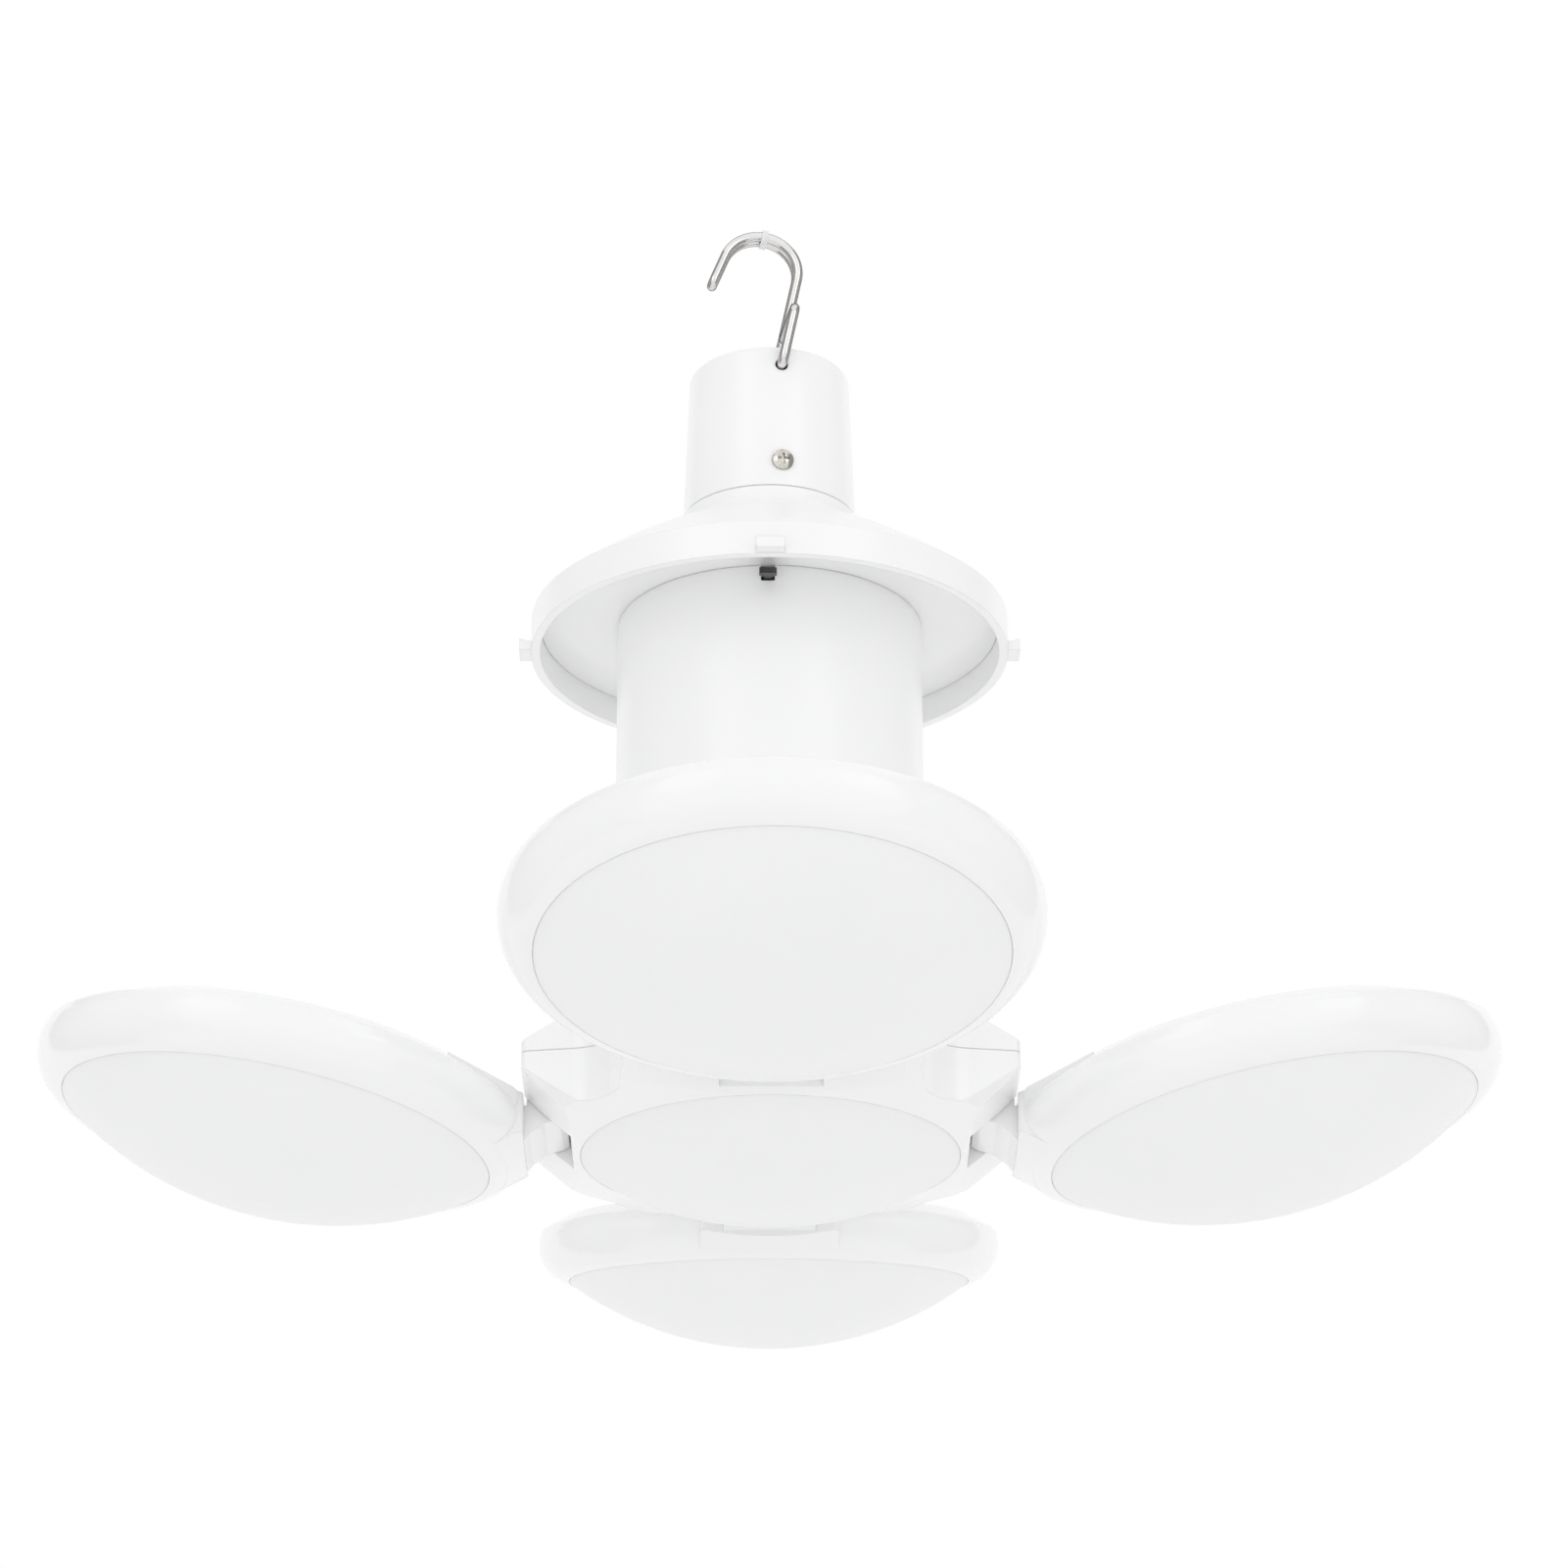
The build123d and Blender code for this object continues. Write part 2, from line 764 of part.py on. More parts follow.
def lens(radius, rise):
    """Milky dome pointing down, with a flat edge that sits in its seat; its edge is at zero."""
    ball = (radius**2 + rise**2) / (2 * rise)
    middle = radius / 2
    low = -math.sqrt(ball**2 - middle**2) + ball - rise
    inner = radius - lens_wall
    inner_ball = ball - lens_wall
    inner_low = -inner_ball + ball - rise
    edge_low = -math.sqrt(inner_ball**2 - inner**2) + ball - rise
    inner_mid = -math.sqrt(inner_ball**2 - middle**2) + ball - rise
    return turned(
        [
            ThreePointArc((0, -rise), (middle, low), (radius, 0)),
            *Polyline((radius, 0), (radius, lens_edge), (inner, lens_edge), (inner, edge_low)).edges(),
            ThreePointArc((inner, edge_low), (middle, inner_mid), (0, inner_low)),
            Line((0, inner_low), (0, -rise)),
        ]
    )


def hub_lens():
    return Pos(0, 0, base_low) * lens(hub_lens_r, hub_lens_rise)


def hub_led_board():
    board = post(hub_cavity_r - side_gap, board_ledge, board_ledge + board_thick)
    for x, y in hub_screw_places():
        board -= post(hub_screw_r + seat_gap, board_ledge, board_ledge + board_thick, x, y)
    return board


def hub_screws():
    body = Rot(180, 0, 0) * screw(hub_screw_r, hub_screw_head_r, hub_screw_head_h, hub_screw_length)
    return Compound(children=[Pos(x, y, board_ledge) * body for x, y in hub_screw_places()])


def hinge_pins():
    pin = Pos(hinge_r, 0, hub_z) * Rot(90, 0, 0) * Cylinder(pin_r, 2 * pin_half)
    return Compound(children=[Rot(0, 0, angle) * pin for angle in leaf_angles.values()])


def leaf_place(angle):
    """Place of a leaf drawn with its hinge at zero and its length along X."""
    return Rot(0, 0, angle) * Pos(hinge_r, 0, hub_z) * Rot(0, -leaf_tilt, 0)


disc_place = Pos(leaf_reach, 0, -leaf_drop)


def leaf_dish():
    """Flat back, bevelled and rolled rim and lens seat, turned about the middle of the leaf."""
    seat_r = leaf_lens_r + seat_gap
    ledge_top = -leaf_under + lens_edge + leaf_ledge_h
    hollow_back = leaf_back - leaf_wall
    bevel = [(leaf_r - bevel_in, leaf_back), (leaf_r - bevel_out, bevel_low)]
    outside = [
        *Polyline((0, leaf_back), *bevel, (leaf_r, rim_widest)).edges(),
        ThreePointArc((leaf_r, rim_widest), (leaf_r - roll_in, -roll_low), (seat_r, -leaf_under)),
    ]
    inside = Polyline(
        (seat_r, -leaf_under),
        (seat_r, -leaf_under + lens_edge),
        (leaf_lens_r - leaf_ledge_w, -leaf_under + lens_edge),
        (leaf_lens_r - leaf_ledge_w, ledge_top),
        (leaf_r - hollow_low_in, ledge_top),
        (leaf_r - leaf_wall, hollow_mid_z),
        (leaf_r - hollow_top_in, hollow_top_z),
        (leaf_r - hollow_back_in, hollow_back),
        (0, hollow_back),
        (0, leaf_back),
    )
    face = make_face([*outside, *inside.edges()])
    soft = [min(face.vertices(), key=lambda vertex: math.dist((vertex.X, vertex.Y), at)) for at in bevel]
    return revolve(Plane.XZ * fillet(soft, bevel_edge_r), Axis.Z)


def leaf_shoulders():
    """Flared plate that carries the back of the leaf inward to the hinge."""
    far = math.hypot(shoulder_reach, shoulder_half)
    turn = math.atan2(shoulder_half, shoulder_reach) + math.acos(shoulder_tangent_r / far)
    touch_x = -shoulder_tangent_r * math.cos(turn)
    touch_y = shoulder_tangent_r * math.sin(turn)
    outline = Polyline(
        (-shoulder_reach, -shoulder_half),
        (-shoulder_reach, shoulder_half),
        (touch_x, touch_y),
        (touch_x, -touch_y),
        close=True,
    )
    plate = extrude(Pos(0, 0, leaf_back - shoulder_depth) * make_face(outline), shoulder_depth)
    plate = fillet(plate.edges().group_by(Axis.X)[0], shoulder_edge_r)
    return plate - post(leaf_r - hollow_back_in, -leaf_under, leaf_back - leaf_wall)


def leaf_root():
    """Full depth of the leaf under its shoulders, ended upright in front of the hub."""
    end = hub_reach + side_gap / 3 - hinge_r
    width = 2 * (shoulder_half - side_gap)
    block = Pos(end, 0, 0) * Box(
        2 * root_reach, width, 4 * leaf_drop, align=(Align.MIN, Align.CENTER, Align.CENTER)
    )
    block = fillet(block.edges().filter_by(Axis.Z).group_by(Axis.X)[0], shoulder_edge_r)
    inner = shoulder_reach - root_overlap
    outer = leaf_r + root_reach
    at_zero = -root_under_z - root_slope * (leaf_r - root_under_at)
    ring = turned_points(
        [
            (inner, leaf_back),
            (outer, leaf_back),
            (outer, at_zero + root_slope * outer),
            (inner, at_zero + root_slope * inner),
        ]
    )
    return (Rot(0, leaf_tilt, 0) * block) & (disc_place * ring)


def hinge_arm():
    """Arm that rises from the rim to the hinge pin, between the hub's slot walls."""
    outline = Polyline(
        (-knuckle_r, 0),
        (-toe_out, -toe_low),
        (-toe_out + toe_chamfer, -toe_low - toe_chamfer),
        (-toe_chamfer, -arm_low),
        (heel_out - heel_step / 2, -heel_low),
        (heel_out, -heel_low - heel_step),
        (heel_out + leaf_wall, -heel_low - heel_step - leaf_wall / 2),
        (leaf_reach - leaf_r + leaf_under, -leaf_drop),
        (leaf_reach - shoulder_reach + leaf_wall, -leaf_drop + leaf_back - shoulder_depth / 2),
        (arm_top_out, -arm_top_low),
        (knuckle_r, 0),
        close=True,
    )
    arm = extrude(Plane.XZ * make_face(outline), slot_half - side_gap, both=True)
    turned_on_side = Rot(90, 0, 0)
    arm += turned_on_side * Cylinder(knuckle_r, 2 * (slot_half - side_gap))
    return arm - turned_on_side * Cylinder(pin_r + pin_gap, 4 * slot_half)


def leaf_screw_places():
    return ring_places(leaf_screw_ring, 3)


board_top = leaf_back - leaf_wall - leaf_boss_h


def leaf_shell():
    """Leaf housing, in the leaf's own frame with its hinge at zero."""
    dish = leaf_dish() + leaf_shoulders()
    for x, y in leaf_screw_places():
        dish += post(leaf_boss_r, board_top, leaf_back - leaf_wall / 2, x, y)
        dish -= post(small_screw_r, board_top, leaf_back - leaf_wall, x, y)
    return disc_place * dish + leaf_root() + hinge_arm()


def leaf_lens():
    return disc_place * Pos(0, 0, -leaf_under) * lens(leaf_lens_r, leaf_lens_rise)


def leaf_led_board():
    board = post(leaf_board_r, board_top - board_thick, board_top)
    for x, y in leaf_screw_places():
        board -= post(small_screw_r + seat_gap, board_top - board_thick, board_top, x, y)
    return disc_place * board


def leaf_screws():
    body = Rot(180, 0, 0) * screw(small_screw_r, small_head_r, small_head_h, board_thick + leaf_boss_h)
    low = board_top - board_thick
    return Compound(children=[disc_place * Pos(x, y, low) * body for x, y in leaf_screw_places()])


save(hook_wire(), "hook_wire")
save(hook_band(), "hook_band")
save(hook_cap(), "hook_cap")
save(hook_cap_screw(), "hook_cap_screw")
save(canopy(), "canopy")
save(base_shell(), "base_shell")
save(base_insulator(), "base_insulator")
save(base_contact(), "base_contact")
save(canopy_plate(), "canopy_plate")
save(driver_board(), "driver_board")
save(board_screws(), "board_screws")
save(tube_screws(), "tube_screws")
save(battery_tube(), "battery_tube")
save(cell_tray(tray_top_low, tray_top_low), "cell_tray_top")
save(cell_tray(tray_low_top - tray_thick, tray_low_top - tray_pocket), "cell_tray_bottom")
save(cell_contacts(), "cell_contacts")
for number, (x, y) in enumerate(cell_places(), start=1):
    save(battery_cell(x, y), f"battery_cell_{number}")
save(switch_body(), "switch_body")
save(switch_lever(), "switch_lever")
save(hub_cover(), "hub_cover")
save(hub_base(), "hub_base")
save(hub_lens(), "hub_lens")
save(hub_led_board(), "hub_led_board")
save(hub_screws(), "hub_screws")
save(hinge_pins(), "hinge_pins")
leaf_pieces = {
    "leaf_shell": leaf_shell(),
    "leaf_lens": leaf_lens(),
    "leaf_led_board": leaf_led_board(),
    "leaf_screws": leaf_screws(),
}
for side, angle in leaf_angles.items():
    for name, piece in leaf_pieces.items():
        save(leaf_place(angle) * piece, f"{name}_{side}")
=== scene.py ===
import math

import bpy
from mathutils import Matrix, Vector

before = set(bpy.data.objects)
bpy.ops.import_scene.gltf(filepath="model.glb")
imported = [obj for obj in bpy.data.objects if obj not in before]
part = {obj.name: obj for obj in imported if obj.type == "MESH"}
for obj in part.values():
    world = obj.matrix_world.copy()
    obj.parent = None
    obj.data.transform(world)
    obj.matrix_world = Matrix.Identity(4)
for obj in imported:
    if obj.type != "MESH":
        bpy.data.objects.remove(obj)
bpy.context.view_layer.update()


# The hook is one hard drawn steel wire, bent double so that two strands run side by side, and
# nickel plated. Its ends are sprung into the two cross holes of the cap, where it swings.

def new_finish(name):
    """A material with its shader and its coordinates, ready for the piece's own texture."""
    material = bpy.data.materials.new(name)
    material.use_nodes = True
    tree = material.node_tree
    shader = tree.nodes["Principled BSDF"]
    place = tree.nodes.new("ShaderNodeTexCoord")
    return material, tree, shader, place.outputs["Object"]


def mottle(tree, place, size, detail=2.0, stretch=(1, 1, 1)):
    """Soft random cloud with patches about size metres across, drawn out where stretch is small."""
    spread = tree.nodes.new("ShaderNodeMapping")
    spread.inputs["Scale"].default_value = stretch
    cloud = tree.nodes.new("ShaderNodeTexNoise")
    cloud.inputs["Scale"].default_value = 1 / size
    cloud.inputs["Detail"].default_value = detail
    tree.links.new(place, spread.inputs["Vector"])
    tree.links.new(spread.outputs["Vector"], cloud.inputs["Vector"])
    return cloud.outputs["Fac"]


cloud_low, cloud_high = 0.3, 0.7


def tint(tree, shader, cloud, dark, light):
    """Colour that drifts between two shades with the cloud."""
    ramp = tree.nodes.new("ShaderNodeValToRGB")
    ramp.color_ramp.elements[0].position = cloud_low
    ramp.color_ramp.elements[0].color = (*dark, 1)
    ramp.color_ramp.elements[1].position = cloud_high
    ramp.color_ramp.elements[1].color = (*light, 1)
    tree.links.new(cloud, ramp.inputs["Fac"])
    tree.links.new(ramp.outputs["Color"], shader.inputs["Base Color"])


def polish(tree, shader, cloud, smooth, dull):
    """Roughness that drifts between a smooth and a dull value with the cloud."""
    spread = tree.nodes.new("ShaderNodeMapRange")
    spread.inputs["From Min"].default_value = cloud_low
    spread.inputs["From Max"].default_value = cloud_high
    spread.inputs["To Min"].default_value = smooth
    spread.inputs["To Max"].default_value = dull
    tree.links.new(cloud, spread.inputs["Value"])
    tree.links.new(spread.outputs["Result"], shader.inputs["Roughness"])


def relief(tree, shader, cloud, depth, strength, below=None):
    """Bumps depth metres deep where the cloud is light, laid on the surface or on those below."""
    bump = tree.nodes.new("ShaderNodeBump")
    bump.inputs["Distance"].default_value = depth
    bump.inputs["Strength"].default_value = strength
    tree.links.new(cloud, bump.inputs["Height"])
    if below:
        tree.links.new(below, bump.inputs["Normal"])
    tree.links.new(bump.outputs["Normal"], shader.inputs["Normal"])
    return bump.outputs["Normal"]


def dress(material, *names):
    """Puts a finish on pieces that come from the frame."""
    for name in names:
        slots = part[name].data.materials
        slots.clear()
        slots.append(material)


def plated_wire():
    material, tree, shader, place = new_finish("plated_wire")
    painted_dark_edge = (0.0, 0.0, 0.0, 1)
    shader.inputs["Metallic"].default_value = 1.0
    # The black specular tint is painted shade: it darkens the plating's shine towards the edges of the
    # wire, as a reflection of dark surroundings would.
    shader.inputs["Specular Tint"].default_value = painted_dark_edge
    draw_lines = mottle(tree, place, size=0.00025, detail=3, stretch=(1, 1, 0.08))
    haze = mottle(tree, place, size=0.002)
    tint(tree, shader, haze, dark=(0.78, 0.77, 0.76), light=(0.85, 0.84, 0.83))
    polish(tree, shader, haze, smooth=0.05, dull=0.11)
    relief(tree, shader, draw_lines, depth=0.00001, strength=0.25)
    return material


dress(plated_wire(), "hook_wire")


# A thin sleeve of clear plastic holds the two strands together at the top of the bend. It is
# milky with handling and lets a little of the plating through.

def sleeve_plastic():
    material, tree, shader, place = new_finish("sleeve_plastic")
    shader.inputs["Transmission Weight"].default_value = 0.12
    shader.inputs["IOR"].default_value = 1.47
    haze = mottle(tree, place, size=0.0012)
    tint(tree, shader, haze, dark=(0.88, 0.88, 0.88), light=(0.93, 0.93, 0.93))
    polish(tree, shader, haze, smooth=0.22, dull=0.34)
    relief(tree, shader, haze, depth=0.00001, strength=0.2)
    return material


dress(sleeve_plastic(), "hook_band")


# The housings are injection moulded in one grade of white plastic, with a faint ripple and barely
# broken edges from the mould. The ceiling plate, the hub and the leaves are polished; the cap,
# the canopy and the battery tube are left a little duller.

def housing_white(name, smooth, dull):
    material, tree, shader, place = new_finish(name)
    shader.inputs["IOR"].default_value = 1.49
    soft_edge = tree.nodes.new("ShaderNodeBevel")
    soft_edge.samples = 8
    soft_edge.inputs["Radius"].default_value = 0.0003
    drift = mottle(tree, place, size=0.03)
    ripple = mottle(tree, place, size=0.006)
    grain = mottle(tree, place, size=0.0004, detail=3)
    tint(tree, shader, drift, dark=(0.930, 0.932, 0.935), light=(0.945, 0.946, 0.947))
    polish(tree, shader, ripple, smooth, dull)
    moulded = soft_edge.outputs["Normal"]
    rippled = relief(tree, shader, ripple, depth=0.00003, strength=0.25, below=moulded)
    relief(tree, shader, grain, depth=0.000004, strength=0.2, below=rippled)
    return material


white = housing_white("housing_white", smooth=0.11, dull=0.14)
satin_white = housing_white("satin_white", smooth=0.30, dull=0.32)
dress(white, "canopy_plate", "hub_cover", "hub_base")
dress(satin_white, "hook_cap", "canopy", "battery_tube")


# Pan head cross screws of zinc plated steel hold the cap, the tube, the boards and the hub. The
# pins that the leaves turn on are cut from the same steel, and lie between the hub's two halves.

def screw_steel():
    material, tree, shader, place = new_finish("screw_steel")
    painted_dark_edge = (0.1, 0.1, 0.1, 1)
    shader.inputs["Metallic"].default_value = 1.0
    # The near-black specular tint is painted shade: it darkens the steel's shine towards the edges of
    # each screw and pin, as a reflection of dark surroundings would.
    shader.inputs["Specular Tint"].default_value = painted_dark_edge
    turned_lines = mottle(tree, place, size=0.00012, detail=2, stretch=(1, 0.3, 1))
    haze = mottle(tree, place, size=0.0008)
    tint(tree, shader, haze, dark=(0.60, 0.57, 0.53), light=(0.78, 0.75, 0.70))
    polish(tree, shader, haze, smooth=0.12, dull=0.22)
    relief(tree, shader, turned_lines, depth=0.000008, strength=0.3)
    return material


steel = screw_steel()
dress(steel, "hook_cap_screw", "tube_screws", "board_screws", "hub_screws", "hinge_pins")


# Under the cap is a screw lamp base: a rolled sleeve of nickel plated brass, a black glass
# insulator and a tinned contact.

def rolled_brass():
    material, tree, shader, place = new_finish("rolled_brass")
    shader.inputs["Metallic"].default_value = 1.0
    haze = mottle(tree, place, size=0.003)
    tint(tree, shader, haze, dark=(0.66, 0.65, 0.62), light=(0.76, 0.75, 0.72))
    polish(tree, shader, haze, smooth=0.20, dull=0.36)
    relief(tree, shader, haze, depth=0.00002, strength=0.3)
    return material


def black_glass():
    material, tree, shader, place = new_finish("black_glass")
    haze = mottle(tree, place, size=0.002)
    tint(tree, shader, haze, dark=(0.010, 0.010, 0.011), light=(0.022, 0.022, 0.024))
    polish(tree, shader, haze, smooth=0.10, dull=0.24)
    relief(tree, shader, haze, depth=0.00003, strength=0.2)
    return material


def tinned_metal():
    material, tree, shader, place = new_finish("tinned_metal")
    shader.inputs["Metallic"].default_value = 1.0
    haze = mottle(tree, place, size=0.001)
    tint(tree, shader, haze, dark=(0.60, 0.59, 0.58), light=(0.72, 0.71, 0.70))
    polish(tree, shader, haze, smooth=0.28, dull=0.45)
    relief(tree, shader, haze, depth=0.00006, strength=0.4)
    return material


dress(rolled_brass(), "base_shell")
dress(black_glass(), "base_insulator")
dress(tinned_metal(), "base_contact", "cell_contacts")


# The driver board stands on three posts over the ceiling plate, and the light boards are thin
# aluminium discs with white resist.

def white_resist():
    material, tree, shader, place = new_finish("white_resist")
    haze = mottle(tree, place, size=0.004)
    weave = mottle(tree, place, size=0.0005, detail=1)
    tint(tree, shader, haze, dark=(0.78, 0.79, 0.77), light=(0.84, 0.85, 0.83))
    polish(tree, shader, haze, smooth=0.35, dull=0.5)
    relief(tree, shader, weave, depth=0.00001, strength=0.3)
    return material


resist = white_resist()
dress(resist, "driver_board", "hub_led_board")


# Four cells stand in the tube between two moulded black trays. Each has its shrink sleeve,
# which lies in fine wrinkles along the cell.

def shrink_sleeve():
    material, tree, shader, place = new_finish("shrink_sleeve")
    wrinkle = mottle(tree, place, size=0.002, detail=3, stretch=(1, 1, 0.25))
    tint(tree, shader, wrinkle, dark=(0.03, 0.10, 0.26), light=(0.04, 0.13, 0.31))
    polish(tree, shader, wrinkle, smooth=0.24, dull=0.38)
    relief(tree, shader, wrinkle, depth=0.00004, strength=0.3)
    return material


def black_moulding():
    material, tree, shader, place = new_finish("black_moulding")
    shader.inputs["IOR"].default_value = 1.46
    grain = mottle(tree, place, size=0.0002, detail=3)
    haze = mottle(tree, place, size=0.002)
    tint(tree, shader, haze, dark=(0.030, 0.030, 0.031), light=(0.050, 0.050, 0.051))
    polish(tree, shader, haze, smooth=0.34, dull=0.50)
    relief(tree, shader, grain, depth=0.00001, strength=0.4)
    return material


black = black_moulding()
dress(shrink_sleeve(), "battery_cell_1", "battery_cell_2", "battery_cell_3", "battery_cell_4")
dress(black, "cell_tray_top", "cell_tray_bottom")


# A small black lever switch looks out of a window at the front of the tube, close under the
# ceiling plate. Body and lever are moulded in the same black plastic as the trays.

dress(black, "switch_body", "switch_lever")


# The hub's lens and the lenses of the leaves are thin domes of milky plastic with a satin face,
# snapped into their seats so that a fine dark line runs round each.

def milky_lens():
    material, tree, shader, place = new_finish("milky_lens")
    shader.inputs["IOR"].default_value = 1.49
    shader.inputs["Subsurface Weight"].default_value = 0.15
    shader.inputs["Subsurface Scale"].default_value = 0.002
    shader.inputs["Subsurface Radius"].default_value = (1.0, 1.0, 1.0)
    drift = mottle(tree, place, size=0.02)
    frost = mottle(tree, place, size=0.0003, detail=2)
    tint(tree, shader, drift, dark=(0.915, 0.918, 0.921), light=(0.928, 0.930, 0.932))
    polish(tree, shader, drift, smooth=0.36, dull=0.44)
    relief(tree, shader, frost, depth=0.000006, strength=0.3)
    return material


lens_finish = milky_lens()
dress(lens_finish, "hub_lens")


# Each of the four leaves is a round dish on a hinged arm, in the same white as the hub, with a
# light board screwed inside and a lens over it.

for side in ("right", "back", "left", "front"):
    dress(white, f"leaf_shell_{side}")
    dress(lens_finish, f"leaf_lens_{side}")
    dress(resist, f"leaf_led_board_{side}")
    dress(steel, f"leaf_screws_{side}")


# The camera stands in front and below, and looks up at the lamp through a long lens, turned a
# little about its own axis as the photograph's was.

image_pixels = 1601
focal_pixels = 5039.8
camera_place = Vector((-0.003615, -0.813136, -0.454935))
look = Vector((0.006956, 0.920464, 0.390779)).normalized()
camera_roll = math.radians(-0.176)

level_right = look.cross(Vector((0, 0, 1))).normalized()
level_up = level_right.cross(look)
right = level_right * math.cos(camera_roll) + level_up * math.sin(camera_roll)
up = level_up * math.cos(camera_roll) - level_right * math.sin(camera_roll)
camera_data = bpy.data.cameras.new("camera")
camera_data.sensor_width = 36.0
camera_data.lens = focal_pixels / image_pixels * camera_data.sensor_width
camera_data.clip_start = 0.05
camera_data.clip_end = 60.0
camera = bpy.data.objects.new("camera", camera_data)
camera.matrix_world = Matrix.Translation(camera_place) @ Matrix((right, up, -look)).transposed().to_4x4()
bpy.context.scene.collection.objects.link(camera)
bpy.context.scene.camera = camera


# The room is a white tent, lit a little more from the front, from behind and from below than
# from the sides. What looks straight at it, or sees it in a shine, meets plain white.

tent_all_round = 0.86
tent_from_front = 0.17
tent_from_behind = 0.15
tent_from_above = 0.04
tent_from_below = 0.36
tent_from_right = 0.04
tent_cloth = (1, 1, 1, 1)
world = bpy.data.worlds.new("tent")
world.use_nodes = True
tent = world.node_tree
tent.nodes.clear()


def tent_sum(how, first, second):
    """One step of arithmetic on the way that a ray leaves the lamp."""
    step = tent.nodes.new("ShaderNodeMath")
    step.operation = how
    for slot, value in enumerate((first, second)):
        if isinstance(value, float):
            step.inputs[slot].default_value = value
        else:
            tent.links.new(value, step.inputs[slot])
    return step.outputs["Value"]


way = tent.nodes.new("ShaderNodeTexCoord")
along = tent.nodes.new("ShaderNodeSeparateXYZ")
tent.links.new(way.outputs["Generated"], along.inputs["Vector"])
forward = tent_sum("MAXIMUM", tent_sum("MULTIPLY", along.outputs["Y"], -tent_from_front), 0.0)
behind = tent_sum("MAXIMUM", tent_sum("MULTIPLY", along.outputs["Y"], tent_from_behind), 0.0)
above = tent_sum("MAXIMUM", tent_sum("MULTIPLY", along.outputs["Z"], tent_from_above), 0.0)
below = tent_sum("MAXIMUM", tent_sum("MULTIPLY", along.outputs["Z"], -tent_from_below), 0.0)
aside = tent_sum("MAXIMUM", tent_sum("MULTIPLY", along.outputs["X"], tent_from_right), 0.0)
round_about = tent_sum("ADD", tent_sum("ADD", forward, behind), aside)
up_and_down = tent_sum("ADD", above, below)
tent_level = tent_sum("ADD", tent_sum("ADD", round_about, up_and_down), tent_all_round)
ray = tent.nodes.new("ShaderNodeLightPath")
looked_at = tent_sum("MAXIMUM", ray.outputs["Is Camera Ray"], ray.outputs["Is Glossy Ray"])
shine = tent_sum("MAXIMUM", looked_at, ray.outputs["Is Transmission Ray"])
soft = tent.nodes.new("ShaderNodeBackground")
soft.inputs["Color"].default_value = tent_cloth
tent.links.new(tent_level, soft.inputs["Strength"])
plain = tent.nodes.new("ShaderNodeBackground")
plain.inputs["Color"].default_value = tent_cloth
plain.inputs["Strength"].default_value = 1.0
either = tent.nodes.new("ShaderNodeMixShader")
tent.links.new(shine, either.inputs["Fac"])
tent.links.new(soft.outputs["Background"], either.inputs[1])
tent.links.new(plain.outputs["Background"], either.inputs[2])
out = tent.nodes.new("ShaderNodeOutputWorld")
tent.links.new(either.outputs["Shader"], out.inputs["Surface"])
bpy.context.scene.world = world


# Two tall soft boxes stand either side of the camera and lay faint upright shines on the neck
# and in the hollows of the hub. They are seen only as shines.

soft_box_width = 0.5
soft_box_height = 0.9
lamp_middle = Vector((0, 0, -0.1))


def soft_box(name, place, power):
    light = bpy.data.lights.new(name, "AREA")
    light.shape = "RECTANGLE"
    light.size = soft_box_width
    light.size_y = soft_box_height
    light.energy = power
    box = bpy.data.objects.new(name, light)
    box.visible_diffuse = False
    box.location = place
    box.rotation_mode = "QUATERNION"
    box.rotation_quaternion = (lamp_middle - place).to_track_quat("-Z", "Y")
    bpy.context.scene.collection.objects.link(box)


soft_box("soft_box_left", Vector((-0.72, -1.08, 0.45)), power=0.75)
soft_box("soft_box_right", Vector((0.81, -1.01, 0.45)), power=0.7)


# Two tall cards of grey felt stand curved round the lamp, left and right. Only the shine of the
# plastic and of the metal shows them, as a darker edge on both sides of every round.

card_distance = 1.6
card_half_height = 2.2
card_folds = [-40, -20, 0, 20, 40]


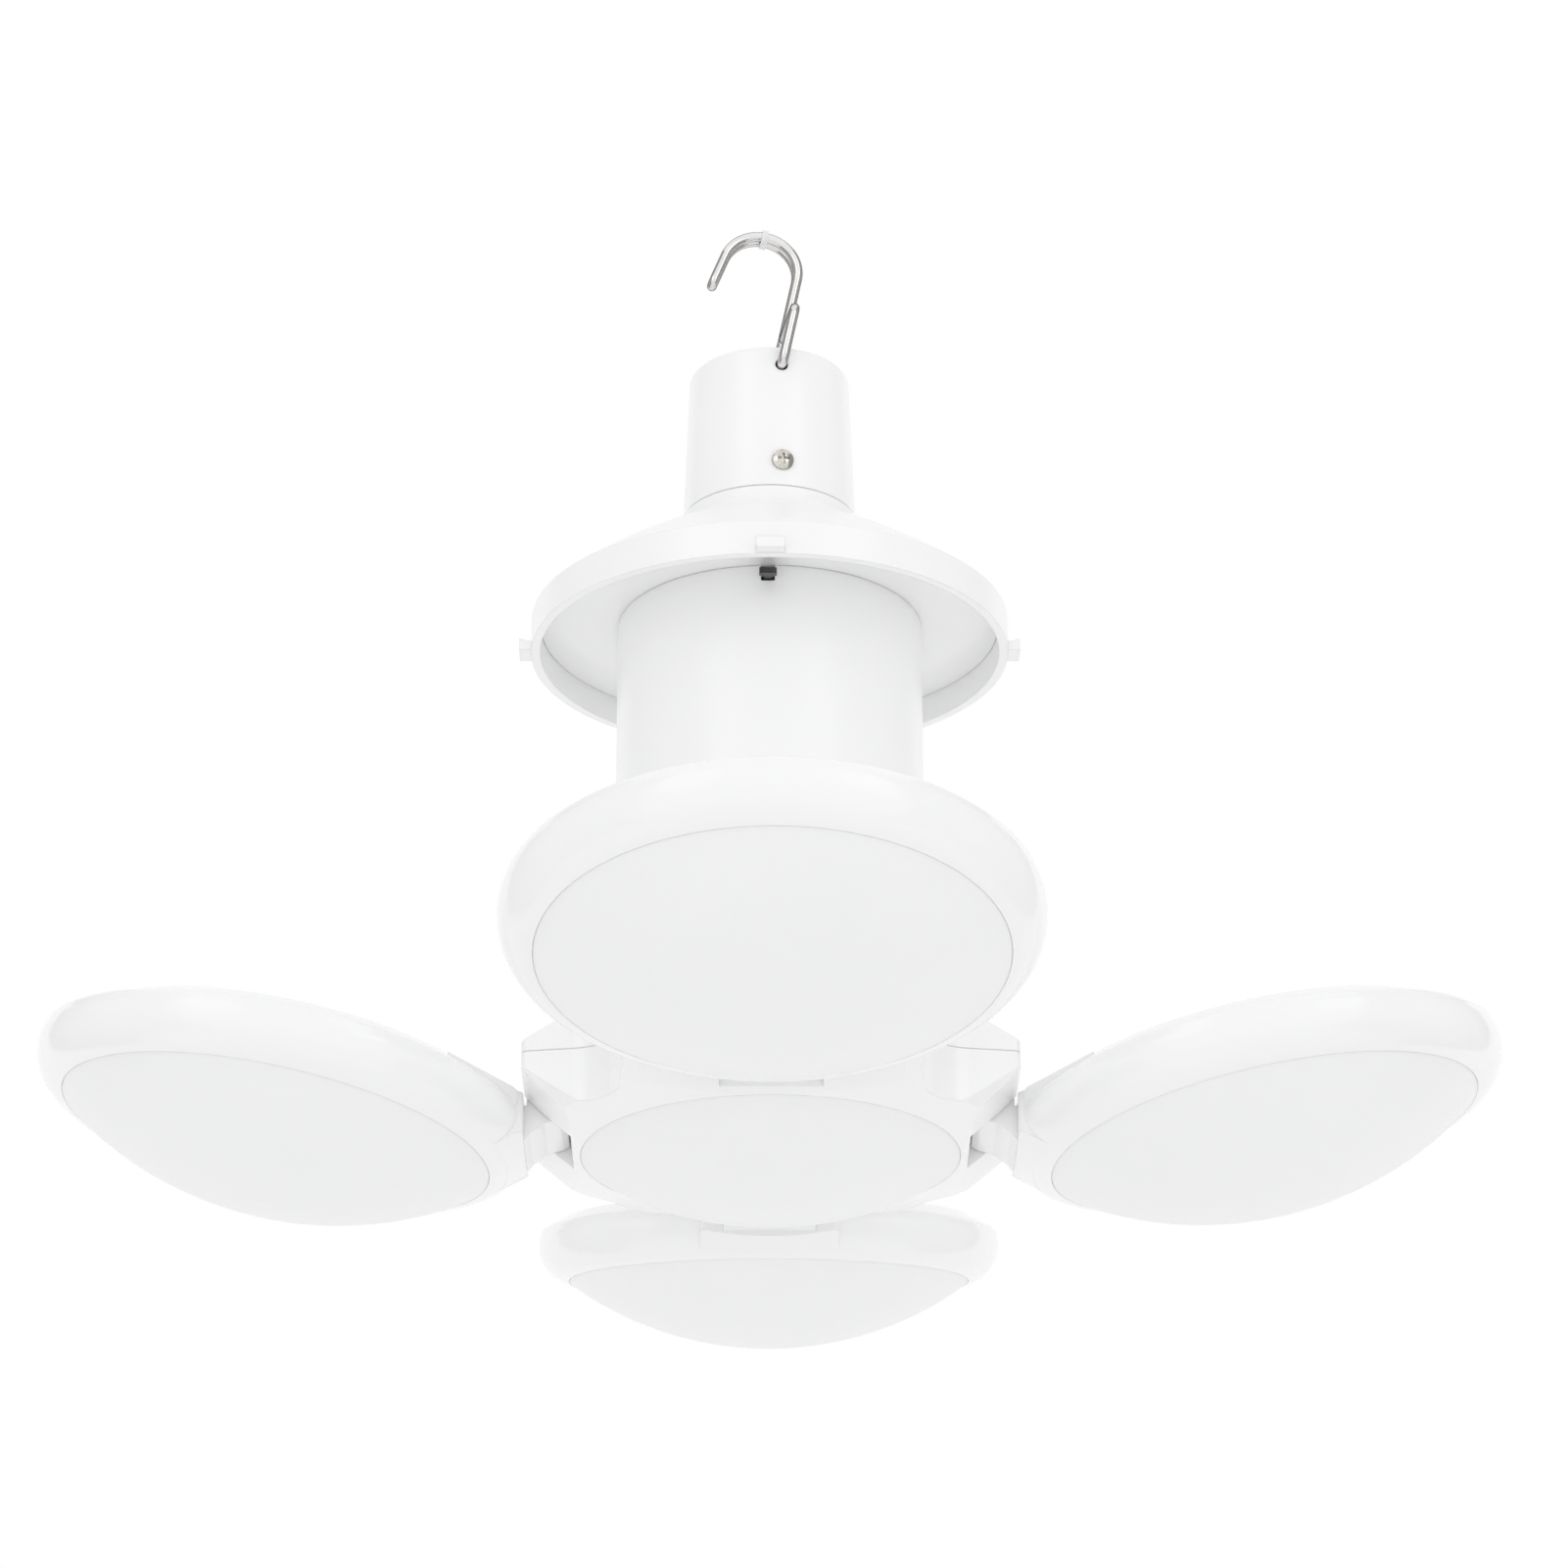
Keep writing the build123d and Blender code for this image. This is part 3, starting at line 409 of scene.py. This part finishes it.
def grey_card(name, middle):
    turns = [math.radians(middle + fold) for fold in card_folds]
    points = [
        (card_distance * math.cos(turn), card_distance * math.sin(turn), level)
        for level in (-card_half_height, card_half_height)
        for turn in turns
    ]
    count = len(turns)
    mesh = bpy.data.meshes.new(name)
    mesh.from_pydata(points, [], [(i, i + 1, i + 1 + count, i + count) for i in range(count - 1)])
    card = bpy.data.objects.new(name, mesh)
    for seen_by in ("camera", "diffuse", "transmission", "volume_scatter", "shadow"):
        setattr(card, "visible_" + seen_by, False)
    felt, tree, shader, place = new_finish(name + "_felt")
    nap = mottle(tree, place, size=0.02)
    tint(tree, shader, nap, dark=(0.36, 0.36, 0.36), light=(0.40, 0.40, 0.40))
    shader.inputs["Roughness"].default_value = 1.0
    mesh.materials.append(felt)
    bpy.context.scene.collection.objects.link(card)


grey_card("grey_card_left", middle=180)
grey_card("grey_card_right", middle=0)


# The pale floor lies well below the hanging lamp, and fades out before the horizon so that no
# edge of it shows.

floor_level = -1.5
floor_reach = 4.0
fade_starts = 1.2
fade_ends = 3.8
floor_mesh = bpy.data.meshes.new("floor")
floor_mesh.from_pydata(
    [(x * floor_reach, y * floor_reach, floor_level) for x, y in ((-1, -1), (1, -1), (1, 1), (-1, 1))],
    [],
    [(0, 1, 2, 3)],
)


def fading_floor():
    material, tree, shader, place = new_finish("pale_floor")
    scuffs = mottle(tree, place, size=0.05)
    tint(tree, shader, scuffs, dark=(0.89, 0.89, 0.89), light=(0.91, 0.91, 0.91))
    shader.inputs["Roughness"].default_value = 0.8
    flat = tree.nodes.new("ShaderNodeVectorMath")
    flat.operation = "MULTIPLY"
    flat.inputs[1].default_value = (1, 1, 0)
    from_middle = tree.nodes.new("ShaderNodeVectorMath")
    from_middle.operation = "LENGTH"
    fade = tree.nodes.new("ShaderNodeMapRange")
    fade.inputs["From Min"].default_value = fade_starts
    fade.inputs["From Max"].default_value = fade_ends
    clear = tree.nodes.new("ShaderNodeBsdfTransparent")
    edge = tree.nodes.new("ShaderNodeMixShader")
    tree.links.new(place, flat.inputs[0])
    tree.links.new(flat.outputs["Vector"], from_middle.inputs[0])
    tree.links.new(from_middle.outputs["Value"], fade.inputs["Value"])
    tree.links.new(fade.outputs["Result"], edge.inputs["Fac"])
    tree.links.new(shader.outputs["BSDF"], edge.inputs[1])
    tree.links.new(clear.outputs["BSDF"], edge.inputs[2])
    tree.links.new(edge.outputs["Shader"], tree.nodes["Material Output"].inputs["Surface"])
    return material


floor_mesh.materials.append(fading_floor())
floor = bpy.data.objects.new("floor", floor_mesh)
bpy.context.scene.collection.objects.link(floor)

bpy.context.scene.view_settings.view_transform = "Standard"
